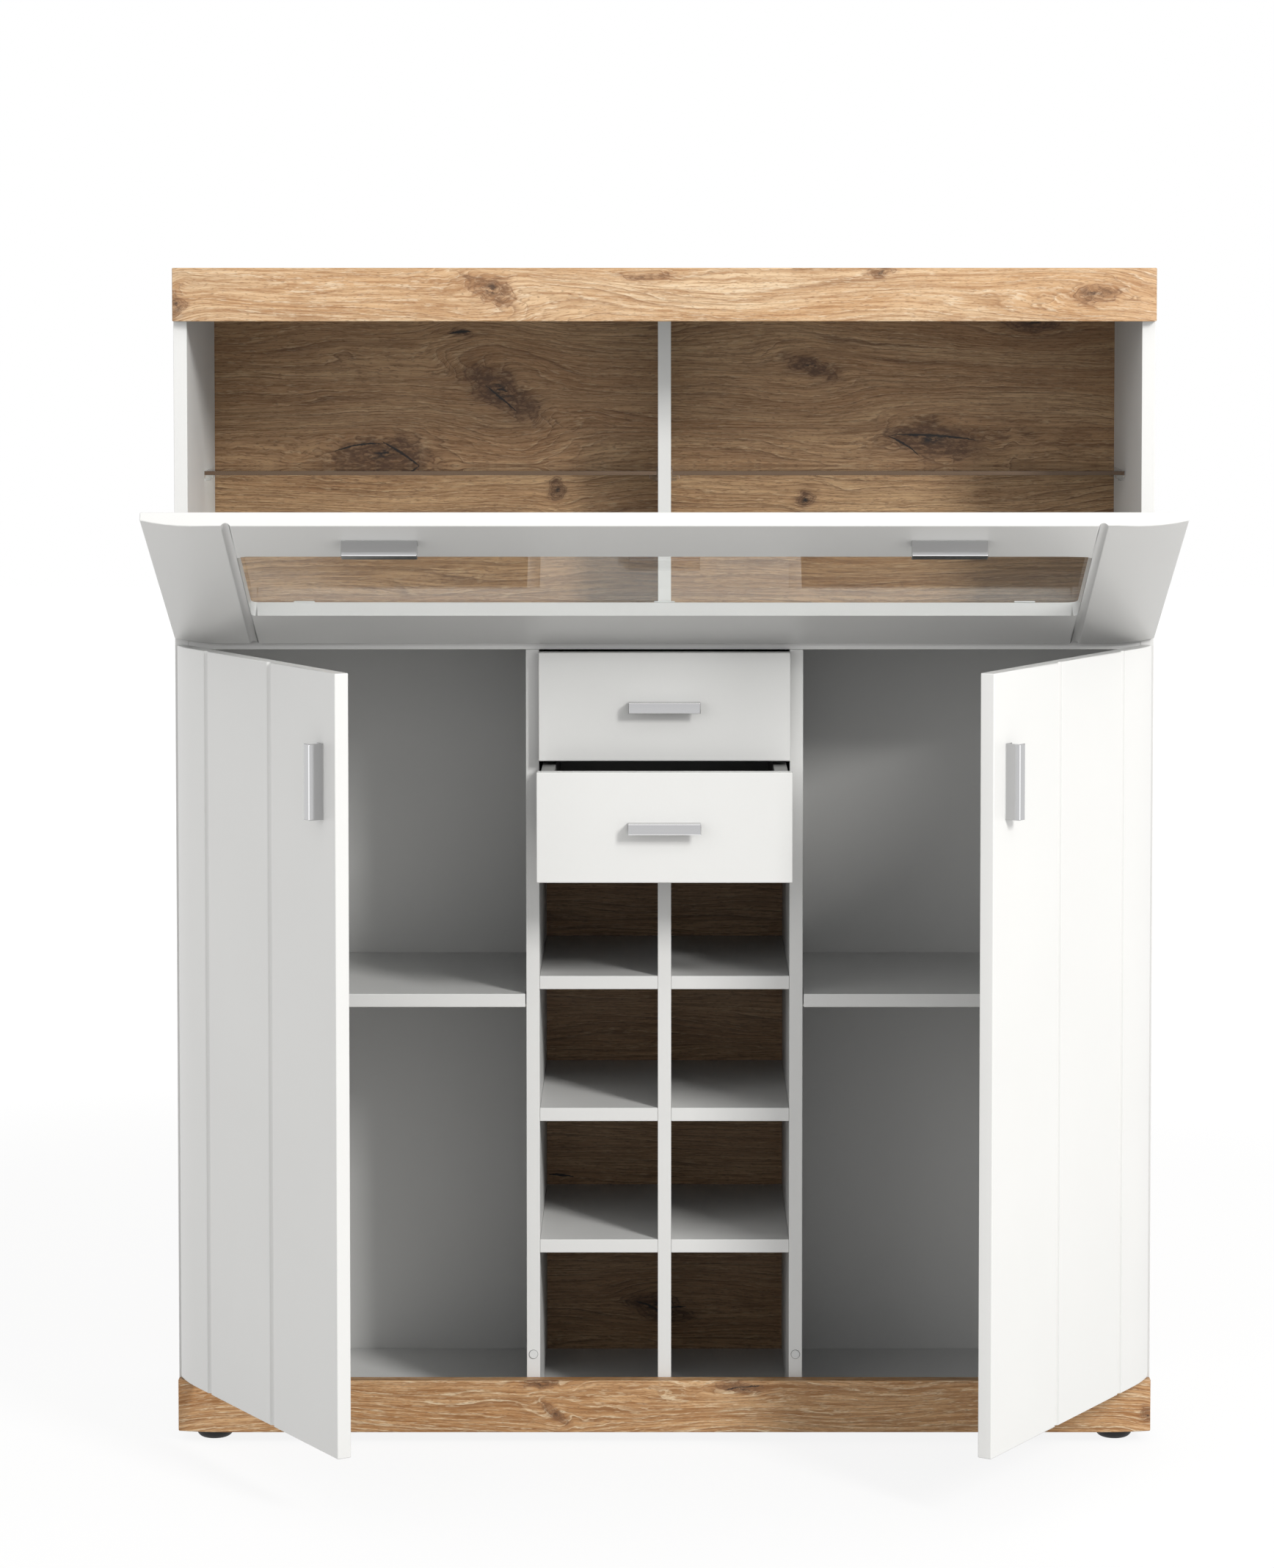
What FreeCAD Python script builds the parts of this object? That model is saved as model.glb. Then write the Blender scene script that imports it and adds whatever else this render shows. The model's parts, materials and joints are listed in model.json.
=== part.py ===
import FreeCAD, Part
import math
import os
from FreeCAD import Placement, Rotation, Vector

# Bar cabinet with a drop-down flap, two doors, two drawers and a bottle rack.
# Millimetres. +X to the right, +Y to the back, +Z up. The origin is on the floor,
# under the middle foot, at the centre of the cabinet's footprint.

# Overall sizes
width = 1160.0
depth = 350.0
height = 1400.0
board = 16.0
back_board = 3.2

# Levels, measured up from the floor
ground_gap = 14.0
base_height = 62.5
top_height = 63.0
flap_height = 376.5
door_over_base = 1.5
flap_over_door = 5.0
flap_under_top = 1.5
shelf_over_door_top = 10.5
floor_lift = 2.0

# Fronts: doors, flap, drawers and both fascias share one face
front_thickness = 17.0
front_gap = 1.5
end_run = 56.0
end_drop = 6.8
door_reveal = 3.5
centre_gap = 2.0
back_rounding = 2.5

# Grooves along the fronts
groove_width = 10.0
groove_depth = 3.8
groove_from_end = 95.0
groove_pitch = 167.5

# Carcass
back_inset = 9.3
back_groove = 6.0
back_joint = 0.5
bay_half = 148.5
rack_cell_share = 0.231
rack_top_over_drawer = 31.3
loose_shelf_level = 537.5
loose_shelf_play = 1.0
upper_divider_setback = 175.5

# Glass shelves
glass_shelf_thickness = 5.0
glass_shelf_rise = 187.5
glass_shelf_play = 1.5

# Shelf pins and glass clips
pin_radius = 2.5
pin_in = 8.5
pin_out = 7.0
pin_fit = 0.05
pin_front_in = 36.5
pin_back_in = 37.5
clip_front_in = 21.0
clip_back_in = 22.5
clip_pad = 10.0
clip_thick = 2.5

# Feet
foot_radius = 22.0
foot_rounding = 9.0
foot_in = 24.7
foot_front = 40.5
foot_back = 45.0
stem_radius = 4.0
stem_length = 8.0
stem_fit = 0.1

# Door bumpers
bumper_radius = 5.0
bumper_thick = 1.3
bumper_level = 103.8
bumper_rounding = 0.5

# Cam locks
cam_radius = 7.5
cam_depth = 12.5
cam_fit = 0.1
cam_in = 34.0
cam_end = 100.0
cam_slot_width = 1.6
cam_slot_depth = 2.0

# Flap
flap_rail = 94.0
window_half = 481.0
window_corner = 8.0
flap_glass_thickness = 4.0
flap_glass_lap = 10.0
flap_glass_gap = 0.1
glass_clip_length = 24.0
glass_clip_width = 12.0
glass_clip_lip = 1.8
glass_clip_reach = 6.0
glass_clip_pitch = 420.0

# Handles: a bow of three flat legs
handle_length = 85.0
handle_lip = 12.6
handle_reach = 18.4
handle_wall = 2.5
handle_holes = 64.0
door_handle_from_edge = 28.0
door_handle_from_top = 122.2
flap_handle_from_top = 42.5
flap_handle_place = 317.5

# Handle screws
screw_radius = 2.0
screw_fit = 0.1
screw_head_radius = 4.0
screw_head_thick = 2.4
screw_bite = 2.3

# Drawers
drawer_front_height = 129.0
drawer_under_shelf = 2.0
drawer_front_gap = 2.5
drawer_front_overlap = 0.5
side_gap = 4.0
side_above_front_bottom = 34.0
side_below_front_top = 2.5
drawer_back_gap = 20.5
drawer_bottom_lift = 10.0
drawer_bottom_thick = 3.2
drawer_bottom_groove = 6.0

# Drawer rails
rail_height = 10.0
rail_reach = 10.0
rail_start = 22.0
rail_back_gap = 15.5
rail_above_side_bottom = 42.0
rail_fit = 0.3
rail_tip_gap = 1.0

# Hinges: local x runs to the panel's hinge edge, y to the back, z along the pin
hinge_edge_door = 5.8
hinge_back_door = 7.2
hinge_edge_flap = 6.5
hinge_back_flap = 9.5
hinge_pin_radius = 1.2
hinge_pin_fit = 0.05
knuckle_radius = 2.1
knuckle_half = 6.0
cup_radius = 17.5
cup_wall = 0.7
cup_floor = 3.0
cup_rim_from_pin = 2.9
cup_slot_half = 8.0
cup_slot_tail = 16.0
cup_fit = 0.05
flange_thick = 1.0
flange_half = 26.0
flange_wide = 9.0
neck_top = 1.2
neck_bottom = 1.6
neck_inner = 13.7
neck_outer = 18.2
arm_half = 6.0
arm_top = 10.9
arm_height = 11.0
arm_start = 12.0
arm_length = 60.0
arm_wall = 1.5
arm_bridge = 8.0
plate_fit = 0.2
plate_start = 18.0
plate_length = 32.0
wing_start = 27.0
wing_length = 14.0
wing_half = 24.0
wing_thick = 2.0
door_hinge_in = 100.0
flap_hinge_place = 400.0

# Pose in which the cabinet is stored: doors, flap and lower drawer open
door_open = 59.0
flap_open = 65.0
lower_drawer_out = 95.0

# One overrun for all cuts
over = 5.0

# Derived levels and places
half = width / 2
face = -depth / 2
carcass_front = face + front_thickness + front_gap
rear = depth / 2
back_face = rear - back_inset - back_board
inner = half - board
base_top = ground_gap + base_height
door_bottom = base_top + door_over_base
top_under = height - top_height
flap_top = top_under - flap_under_top
flap_bottom = flap_top - flap_height
door_top = flap_bottom - flap_over_door
floor_under = ground_gap + floor_lift
floor_level = floor_under + board
shelf_level = door_top + shelf_over_door_top
shelf_under = shelf_level - board
glass_shelf_level = shelf_level + glass_shelf_rise
ceiling = height - board
divider_outer = bay_half + board
upper_divider_front = carcass_front + upper_divider_setback
end_radius = (end_run**2 + end_drop**2) / (2 * end_drop)
flat_half = half - end_run
door_outer = half - door_reveal
door_inner = bay_half + drawer_front_overlap + centre_gap
groove_radius = ((groove_width / 2) ** 2 + groove_depth**2) / (2 * groove_depth)
groove_places = [half - groove_from_end, half - groove_from_end - groove_pitch]
door_pin_x = door_outer - hinge_edge_door
door_pin_y = face + front_thickness - hinge_back_door
flap_pin_z = flap_bottom + hinge_edge_flap
flap_pin_y = face + front_thickness - hinge_back_flap
front_back = face + front_thickness
upper_front_top = shelf_under - drawer_under_shelf
lower_front_top = upper_front_top - drawer_front_height - drawer_front_gap
rack_top_level = lower_front_top - drawer_front_height + rack_top_over_drawer
rack_top_under = rack_top_level - board
rack_pitch = rack_cell_share * (rack_top_level - floor_level)
rack_levels = [rack_top_level - rack_pitch * step for step in (1, 2, 3)]
foot_x = half - board - foot_in

# A clip's pin in the thin upper divider stops short of the middle
clip_pin_in = board / 2 - clip_thick - pin_fit


def box(x0, x1, y0, y1, z0, z1):
    return Part.makeBox(x1 - x0, y1 - y0, z1 - z0, Vector(x0, y0, z0))


def rod(radius, length, start, direction):
    return Part.makeCylinder(radius, length, start, direction)


def mirrored(shape):
    return shape.mirror(Vector(), Vector(1, 0, 0))


def both_sides(shape):
    return [shape, mirrored(shape)]


def export(name, shapes):
    solids = shapes if isinstance(shapes, list) else [shapes]
    shape = solids[0] if len(solids) == 1 else Part.makeCompound(solids)
    shape.exportStep("parts/" + name + ".step")


def moved(shape, placement):
    copy = shape.copy()
    copy.Placement = placement.multiply(copy.Placement)
    return copy


# Distance by which the curved end lies behind the flat face at a place along X
def face_drop(x):
    past = max(0.0, abs(x) - flat_half)
    return end_radius - math.sqrt(end_radius**2 - past**2)


# Arc of the curved end between two places along X, on one side of the middle
def end_arc(x_from, x_to):
    points = [Vector(x, face + face_drop(x), 0) for x in (x_from, (x_from + x_to) / 2, x_to)]
    return Part.Arc(*points).toShape()


def straight(a, b):
    return Part.LineSegment(a, b).toShape()


# Board with the common front face, which curves back towards both ends, and a flat back
def front_board(x_left, x_right, z_low, z_high, back, round_right=0.0):
    left_curved = x_left < -flat_half
    right_curved = x_right > flat_half
    start = Vector(x_left, face + face_drop(x_left), 0)
    finish = Vector(x_right, face + face_drop(x_right), 0)
    flat_start = Vector(-flat_half, face, 0) if left_curved else start
    flat_finish = Vector(flat_half, face, 0) if right_curved else finish
    edges = []
    if left_curved:
        edges.append(end_arc(x_left, -flat_half))
    edges.append(straight(flat_start, flat_finish))
    if right_curved:
        edges.append(end_arc(flat_half, x_right))
    corner = Vector(x_right, back - round_right, 0)
    edges.append(straight(finish, corner))
    turn = Vector(x_right - round_right, back, 0)
    if round_right > 0:
        centre = Vector(x_right - round_right, back - round_right, 0)
        reach = round_right * math.sqrt(0.5)
        edges.append(Part.Arc(corner, centre + Vector(reach, reach, 0), turn).toShape())
    edges.append(straight(turn, Vector(x_left, back, 0)))
    edges.append(straight(Vector(x_left, back, 0), start))
    outline = Part.Face(Part.Wire(edges))
    solid = outline.extrude(Vector(0, 0, z_high - z_low))
    return moved(solid, Placement(Vector(0, 0, z_low), Rotation()))


def groove_cutter(x, z_low, z_high):
    start = Vector(x, face + groove_depth - groove_radius, z_low - over)
    return rod(groove_radius, z_high - z_low + 2 * over, start, Vector(0, 0, 1))


# Handle in its own frame: face at y = 0, long in X, plate on top, middle at the origin
def handle_bow():
    reach = handle_length / 2
    outer = box(-reach, reach, -handle_reach, 0, -handle_lip / 2, handle_lip / 2)
    room = box(
        -reach - over, reach + over,
        -handle_reach + handle_wall, -handle_wall,
        -handle_lip / 2 - over, handle_lip / 2 - handle_wall,
    )
    bow = outer.cut(room)
    for x in (-handle_holes / 2, handle_holes / 2):
        start = Vector(x, -handle_wall - over, 0)
        hole = rod(screw_radius + screw_fit, handle_wall + 2 * over, start, Vector(0, 1, 0))
        bow = bow.cut(hole)
    return bow


def handle_screws():
    shank = front_thickness + screw_bite
    screws = []
    for x in (-handle_holes / 2, handle_holes / 2):
        body = rod(screw_radius, shank, Vector(x, -screw_bite, 0), Vector(0, 1, 0))
        head_start = Vector(x, front_thickness, 0)
        head = rod(screw_head_radius, screw_head_thick, head_start, Vector(0, 1, 0))
        screws.append(body.fuse(head))
    return screws


def screw_holes():
    holes = []
    for x in (-handle_holes / 2, handle_holes / 2):
        start = Vector(x, -over, 0)
        holes.append(rod(screw_radius + screw_fit, front_thickness + 2 * over, start, Vector(0, 1, 0)))
    return holes


# Handle seat: where the middle of a handle lies on the closed face, and its turn
def seat(x, z, turn_deg):
    return Placement(Vector(x, face, z), Rotation(Vector(0, 1, 0), turn_deg))


# Outer form of a hinge cup, grown by a margin for the pocket that it sits in
def cup_form(back, margin):
    centre = cup_rim_from_pin - cup_radius
    low = -cup_floor - margin
    tall = back + cup_floor + margin
    round_part = rod(cup_radius + margin, tall, Vector(centre, low, 0), Vector(0, 1, 0))
    slot = box(
        -cup_slot_tail, cup_rim_from_pin + margin,
        low, low + tall,
        -cup_slot_half - margin, cup_slot_half + margin,
    )
    return round_part.fuse(slot).removeSplitter()


def hinge_cup(back):
    centre = cup_rim_from_pin - cup_radius
    form = cup_form(back, 0.0)
    floor_inside = -cup_floor + cup_wall
    room_round = rod(
        cup_radius - cup_wall, back + over - floor_inside,
        Vector(centre, floor_inside, 0), Vector(0, 1, 0),
    )
    room_slot = box(
        -cup_slot_tail, cup_rim_from_pin - cup_wall,
        floor_inside, back + over,
        -cup_slot_half + cup_wall, cup_slot_half - cup_wall,
    )
    flange = box(
        centre - flange_wide, centre + flange_wide,
        back, back + flange_thick,
        -flange_half, flange_half,
    )
    shell = form.fuse(flange).cut(room_round.fuse(room_slot))
    bore = rod(
        hinge_pin_radius + hinge_pin_fit, 2 * (cup_slot_half + over),
        Vector(0, 0, -cup_slot_half - over), Vector(0, 0, 1),
    )
    return shell.cut(bore)


def hinge_pin():
    return rod(hinge_pin_radius, 2 * cup_slot_half, Vector(0, 0, -cup_slot_half), Vector(0, 0, 1))


# Pocket in the panel for the cup
def hinge_pocket(back):
    return cup_form(back + over, cup_fit)


def hinge_arm():
    knuckle = rod(knuckle_radius, 2 * knuckle_half, Vector(0, 0, -knuckle_half), Vector(0, 0, 1))
    across = box(-neck_outer, 0, -neck_bottom, neck_top, -knuckle_half, knuckle_half)
    along = box(-neck_outer, -neck_inner, -neck_bottom, arm_start, -knuckle_half, knuckle_half)
    outer = box(
        -arm_top - arm_height, -arm_top, arm_start, arm_start + arm_length, -arm_half, arm_half,
    )
    room = box(
        -arm_top - arm_height + arm_wall, -arm_top,
        arm_start + arm_bridge, arm_start + arm_length,
        -arm_half + arm_wall, arm_half - arm_wall,
    )
    arm = knuckle.fuse([across, along, outer]).cut(room)
    bore = rod(
        hinge_pin_radius + hinge_pin_fit, 2 * (knuckle_half + over),
        Vector(0, 0, -knuckle_half - over), Vector(0, 0, 1),
    )
    return arm.cut(bore).removeSplitter()


# Mounting plate between a board's surface and the arm that stands over it
def hinge_plate(surface):
    core = box(
        -arm_top - arm_height + arm_wall + plate_fit, surface,
        arm_start + plate_start, arm_start + plate_start + plate_length,
        -arm_half + arm_wall + plate_fit, arm_half - arm_wall - plate_fit,
    )
    wings = box(
        surface - wing_thick, surface,
        arm_start + wing_start, arm_start + wing_start + wing_length,
        -wing_half, wing_half,
    )
    foot = box(
        -arm_top + plate_fit, surface,
        arm_start + plate_start, arm_start + plate_start + plate_length,
        -arm_half, arm_half,
    )
    return core.fuse([wings, foot]).removeSplitter()


# Door hinges point to +X, flap hinges point down
def door_hinge_place(z):
    return Placement(Vector(door_pin_x, door_pin_y, z), Rotation())


def flap_hinge_frame(x):
    return Placement(Vector(x, flap_pin_y, flap_pin_z), Rotation(Vector(0, 1, 0), 90))


door_hinge_levels = [door_bottom + door_hinge_in, door_top - door_hinge_in]
flap_hinge_places = [-flap_hinge_place, 0.0, flap_hinge_place]
door_board_surface = inner - door_pin_x
flap_board_surface = flap_pin_z - shelf_level

# Stored pose of each moving body
door_pose = Placement(
    Vector(), Rotation(Vector(0, 0, 1), door_open), Vector(door_pin_x, door_pin_y, 0)
)
flap_pose = Placement(
    Vector(), Rotation(Vector(1, 0, 0), flap_open), Vector(0, flap_pin_y, flap_pin_z)
)
drawer_pose = Placement(Vector(0, -lower_drawer_out, 0), Rotation())


# Carcass boards
def side_panel():
    panel = box(inner, half, carcass_front, rear, ground_gap, ceiling)
    groove = box(
        inner - over, inner + back_groove, back_face, back_face + back_board,
        ground_gap - over, ceiling + over,
    )
    panel = panel.cut(groove)
    for hole in pin_holes(inner, 1, shelf_pin_spots()) + pin_holes(inner, 1, glass_clip_spots()):
        panel = panel.cut(hole)
    return panel


def top_board():
    plate = box(-half, half, carcass_front, rear, ceiling, height)
    groove = box(
        -inner - back_groove, inner + back_groove, back_face, back_face + back_board,
        ceiling - over, ceiling + back_groove,
    )
    return plate.cut(groove)


def bottom_panel():
    panel = box(-inner, inner, carcass_front, back_face, floor_under, floor_level)
    for x, y in foot_places():
        start = Vector(x, y, floor_under - over)
        panel = panel.cut(rod(stem_radius + stem_fit, stem_length + stem_fit + over, start, Vector(0, 0, 1)))
    return cut_cams(panel, inner, floor_under)


def middle_shelf():
    panel = box(-inner, inner, carcass_front, back_face, shelf_under, shelf_level)
    return cut_cams(panel, inner, shelf_under)


def lower_divider():
    panel = box(bay_half, divider_outer, carcass_front, back_face, floor_level, shelf_under)
    for hole in pin_holes(divider_outer, -1, shelf_pin_spots()):
        panel = panel.cut(hole)
    return panel


def rack_divider():
    return box(-board / 2, board / 2, carcass_front, back_face, floor_level, rack_top_under)


def rack_top_panel():
    panel = box(-bay_half, bay_half, carcass_front, back_face, rack_top_under, rack_top_level)
    return cut_cams(panel, bay_half, rack_top_under)


def rack_shelves():
    shelves = []
    for level in rack_levels:
        shelf = box(board / 2, bay_half, carcass_front, back_face, level - board, level)
        shelves += both_sides(shelf)
    return shelves


def loose_shelf():
    return box(
        divider_outer + loose_shelf_play, inner - loose_shelf_play,
        carcass_front, back_face - loose_shelf_play,
        loose_shelf_level - board, loose_shelf_level,
    )


def upper_divider():
    panel = box(-board / 2, board / 2, upper_divider_front, back_face, shelf_level, ceiling)
    for side in (-1, 1):
        for hole in pin_holes(side * board / 2, -side, glass_clip_spots(), clip_pin_in):
            panel = panel.cut(hole)
    return panel


def glass_shelf():
    return box(
        board / 2 + glass_shelf_play, inner - glass_shelf_play,
        upper_divider_front, back_face - glass_shelf_play,
        glass_shelf_level - glass_shelf_thickness, glass_shelf_level,
    )


# Back panels, nailed on the rear edges of the boards between them
def back_panel(x_low, x_high, z_low, z_high):
    return box(x_low, x_high, back_face, back_face + back_board, z_low, z_high)


# Pins: places as (y, z) of the pin's axis
def shelf_pin_spots():
    z = loose_shelf_level - board - pin_radius - pin_fit
    return [(carcass_front + pin_front_in, z), (back_face - pin_back_in, z)]


def glass_clip_spots():
    z = glass_shelf_level - glass_shelf_thickness - clip_thick - pin_radius - pin_fit
    return [(upper_divider_front + clip_front_in, z), (back_face - clip_back_in, z)]


def pin_holes(x, direction, spots, reach=pin_in):
    holes = []
    for y, z in spots:
        start = Vector(x - direction * over, y, z)
        length = reach + pin_fit + over
        holes.append(rod(pin_radius + pin_fit, length, start, Vector(direction, 0, 0)))
    return holes


def pins(x, direction, spots, reach=pin_in):
    made = []
    for y, z in spots:
        start = Vector(x + direction * reach, y, z)
        made.append(rod(pin_radius, reach + pin_out, start, Vector(-direction, 0, 0)))
    return made


# Clip for a glass shelf: a pin with a flat pad on top of it
def glass_clips(x, direction, spots, reach=pin_in):
    made = []
    for (y, z), pin in zip(spots, pins(x, direction, spots, reach)):
        near = x - direction * pin_fit
        far = x - direction * clip_pad
        pad = box(
            min(near, far), max(near, far),
            y - clip_pad / 2, y + clip_pad / 2,
            z, z + pin_radius + clip_thick,
        )
        made.append(pin.fuse(pad).removeSplitter())
    return made


def foot_places():
    corners = [(x, y) for x in (-foot_x, foot_x) for y in (face + foot_front, rear - foot_back)]
    return corners + [(0.0, 0.0)]


def feet():
    made = []
    for x, y in foot_places():
        pad = rod(foot_radius, floor_under, Vector(x, y, 0), Vector(0, 0, 1))
        rim = [edge for edge in pad.Edges if edge.BoundBox.ZMax < floor_under / 2]
        pad = pad.makeFillet(foot_rounding, [e for e in rim if len(e.Vertexes) == 1])
        stem = rod(stem_radius, stem_length, Vector(x, y, floor_under), Vector(0, 0, 1))
        made.append(pad.fuse(stem))
    return made


def door_bumpers():
    x = bay_half + board / 2
    start = Vector(x, carcass_front, bumper_level)
    dot = rod(bumper_radius, bumper_thick, start, Vector(0, -1, 0))
    rim = [e for e in dot.Edges if len(e.Vertexes) == 1 and e.BoundBox.YMax < carcass_front]
    dot = dot.makeFillet(bumper_rounding, rim)
    return both_sides(dot)


def cam_places(reach):
    return [(x, y) for x in (-reach + cam_in, reach - cam_in) for y in (face + cam_end, rear - cam_end)]


def cut_cams(panel, reach, under):
    for x, y in cam_places(reach):
        start = Vector(x, y, under - over)
        panel = panel.cut(rod(cam_radius + cam_fit, cam_depth + over, start, Vector(0, 0, 1)))
    return panel


def cam_locks():
    made = []
    for reach, under in ((inner, floor_under), (inner, shelf_under), (bay_half, rack_top_under)):
        for x, y in cam_places(reach):
            disc = rod(cam_radius, cam_depth, Vector(x, y, under), Vector(0, 0, 1))
            slot = box(
                x - cam_radius - over, x + cam_radius + over,
                y - cam_slot_width / 2, y + cam_slot_width / 2,
                under - over, under + cam_slot_depth,
            )
            made.append(disc.cut(slot))
    return made


# Right door, closed
door_handle_x = door_inner + door_handle_from_edge + handle_lip / 2
door_handle_z = door_top - door_handle_from_top
right_handle_seat = seat(door_handle_x, door_handle_z, -90)


def door_panel():
    panel = front_board(door_inner, door_outer, door_bottom, door_top, front_back, back_rounding)
    for x in groove_places:
        panel = panel.cut(groove_cutter(x, door_bottom, door_top))
    for z in door_hinge_levels:
        panel = panel.cut(moved(hinge_pocket(hinge_back_door), door_hinge_place(z)))
    for hole in screw_holes():
        panel = panel.cut(moved(hole, right_handle_seat))
    return panel


# Flap, closed
flap_handle_z = flap_top - flap_handle_from_top - handle_lip / 2
flap_handle_seats = [seat(x, flap_handle_z, 0) for x in (-flap_handle_place, flap_handle_place)]


def flap_frame():
    panel = front_board(-half, half, flap_bottom, flap_top, front_back)
    for x in (-groove_places[0], groove_places[0]):
        panel = panel.cut(groove_cutter(x, flap_bottom, flap_top))
    window = box(
        -window_half, window_half, face - over, front_back + over,
        flap_bottom + flap_rail, flap_top - flap_rail,
    )
    corners = [e for e in window.Edges if abs(e.BoundBox.YMax - e.BoundBox.YMin) > over]
    panel = panel.cut(window.makeFillet(window_corner, corners))
    low_back = [
        e for e in panel.Edges
        if e.BoundBox.ZMax < flap_bottom + cup_fit
        and e.BoundBox.YMin > front_back - cup_fit
        and e.Length > width / 2
    ]
    panel = panel.makeFillet(back_rounding, low_back)
    for x in flap_hinge_places:
        panel = panel.cut(moved(hinge_pocket(hinge_back_flap), flap_hinge_frame(x)))
    for place in flap_handle_seats:
        for hole in screw_holes():
            panel = panel.cut(moved(hole, place))
    return panel


def flap_glass():
    lap = window_half + flap_glass_lap
    return box(
        -lap, lap, front_back, front_back + flap_glass_thickness,
        flap_bottom + flap_rail - flap_glass_lap, flap_top - flap_rail + flap_glass_lap,
    )


def glass_retainers():
    low = flap_bottom + flap_rail - flap_glass_lap
    high = flap_top - flap_rail + flap_glass_lap
    inner_face = front_back + flap_glass_thickness + flap_glass_gap
    made = []
    for x in (-glass_clip_pitch, 0.0, glass_clip_pitch):
        for edge, outward in ((low, -1), (high, 1)):
            near = edge + outward * flap_glass_gap
            far = near + outward * glass_clip_width
            lip_end = near - outward * glass_clip_reach
            block = box(
                x - glass_clip_length / 2, x + glass_clip_length / 2,
                front_back, inner_face, min(near, far), max(near, far),
            )
            lip = box(
                x - glass_clip_length / 2, x + glass_clip_length / 2,
                inner_face, inner_face + glass_clip_lip, min(far, lip_end), max(far, lip_end),
            )
            made.append(block.fuse(lip).removeSplitter())
    return made


# Drawers, closed, named by the top of their front
drawer_side_outer = bay_half - side_gap
drawer_side_inner = drawer_side_outer - board
drawer_end = back_face - drawer_back_gap


def drawer_side_levels(top):
    bottom = top - drawer_front_height + side_above_front_bottom
    return bottom, top - side_below_front_top


def drawer_bottom_box(top):
    low = drawer_side_levels(top)[0] + drawer_bottom_lift
    reach = drawer_side_inner + drawer_bottom_groove
    return box(
        -reach, reach, front_back - drawer_bottom_groove, drawer_end,
        low, low + drawer_bottom_thick,
    )


def drawer_handle_seat(top):
    return seat(0.0, top - drawer_front_height / 2, 0)


def drawer_front(top):
    reach = bay_half + drawer_front_overlap
    panel = box(-reach, reach, face, front_back, top - drawer_front_height, top)
    panel = panel.cut(drawer_bottom_box(top))
    for hole in screw_holes():
        panel = panel.cut(moved(hole, drawer_handle_seat(top)))
    return panel


def rail_levels(top):
    low = drawer_side_levels(top)[0] + rail_above_side_bottom
    return low, low + rail_height


def drawer_sides(top):
    low, high = drawer_side_levels(top)
    side = box(drawer_side_inner, drawer_side_outer, front_back, drawer_end, low, high)
    rail_low, rail_high = rail_levels(top)
    tip = bay_half - rail_reach - rail_tip_gap
    groove = box(
        tip, drawer_side_outer + over, front_back, drawer_end + over,
        rail_low - rail_fit, rail_high + rail_fit,
    )
    side = side.cut(groove).cut(drawer_bottom_box(top))
    return both_sides(side)


def drawer_back(top):
    low, high = drawer_side_levels(top)
    under = low + drawer_bottom_lift + drawer_bottom_thick
    return box(-drawer_side_inner, drawer_side_inner, drawer_end - board, drawer_end, under, high)


def drawer_rails():
    made = []
    for top in (upper_front_top, lower_front_top):
        low, high = rail_levels(top)
        rail = box(
            bay_half - rail_reach, bay_half,
            face + rail_start, back_face - rail_back_gap, low, high,
        )
        made += both_sides(rail)
    return made


def place_all(shapes, placement):
    return [moved(shape, placement) for shape in shapes]


def export_carcass():
    export("top_board", top_board())
    export("top_fascia", front_board(-half, half, top_under, height, carcass_front))
    export("base_fascia", front_board(-half, half, ground_gap, base_top, carcass_front))
    right = side_panel()
    export("right_side_panel", right)
    export("left_side_panel", mirrored(right))
    export("bottom_panel", bottom_panel())
    export("middle_shelf", middle_shelf())
    export("right_divider", lower_divider())
    export("left_divider", mirrored(lower_divider()))
    export("rack_divider", rack_divider())
    export("rack_top_panel", rack_top_panel())
    export("rack_shelves", rack_shelves())
    export("right_shelf", loose_shelf())
    export("left_shelf", mirrored(loose_shelf()))
    export("upper_divider", upper_divider())
    export("right_glass_shelf", glass_shelf())
    export("left_glass_shelf", mirrored(glass_shelf()))
    joint_x = bay_half + board / 2
    joint_z = shelf_under + board / 2
    side_x = inner + back_groove
    low_z = floor_under + board / 2
    high_z = joint_z - back_joint
    right_back = back_panel(joint_x + back_joint, side_x, low_z, high_z)
    export("upper_back_panel", back_panel(-side_x, side_x, joint_z, ceiling + back_groove))
    export("rack_back_panel", back_panel(-joint_x, joint_x, low_z, high_z))
    export("right_back_panel", right_back)
    export("left_back_panel", mirrored(right_back))


def export_small_parts():
    shelf_spots = shelf_pin_spots()
    clip_spots = glass_clip_spots()
    right_pins = pins(inner, 1, shelf_spots) + pins(divider_outer, -1, shelf_spots)
    export("shelf_pins", right_pins + [mirrored(pin) for pin in right_pins])
    right_clips = glass_clips(inner, 1, clip_spots)
    right_clips += glass_clips(board / 2, -1, clip_spots, clip_pin_in)
    export("glass_shelf_clips", right_clips + [mirrored(clip) for clip in right_clips])
    export("feet", feet())
    export("door_bumpers", door_bumpers())
    export("cam_locks", cam_locks())
    export("drawer_rails", drawer_rails())


def export_hinges():
    arm = hinge_arm()
    right_arms = [moved(arm, door_hinge_place(z)) for z in door_hinge_levels]
    flap_arms = [moved(arm, flap_hinge_frame(x)) for x in flap_hinge_places]
    door_plate = hinge_plate(door_board_surface)
    plates = [moved(door_plate, door_hinge_place(z)) for z in door_hinge_levels]
    plates += [mirrored(plate) for plate in plates]
    flap_plate = hinge_plate(flap_board_surface)
    plates += [moved(flap_plate, flap_hinge_frame(x)) for x in flap_hinge_places]
    export("right_door_hinge_arms", right_arms)
    export("left_door_hinge_arms", [mirrored(shape) for shape in right_arms])
    export("flap_hinge_arms", flap_arms)
    export("hinge_plates", plates)


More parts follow.
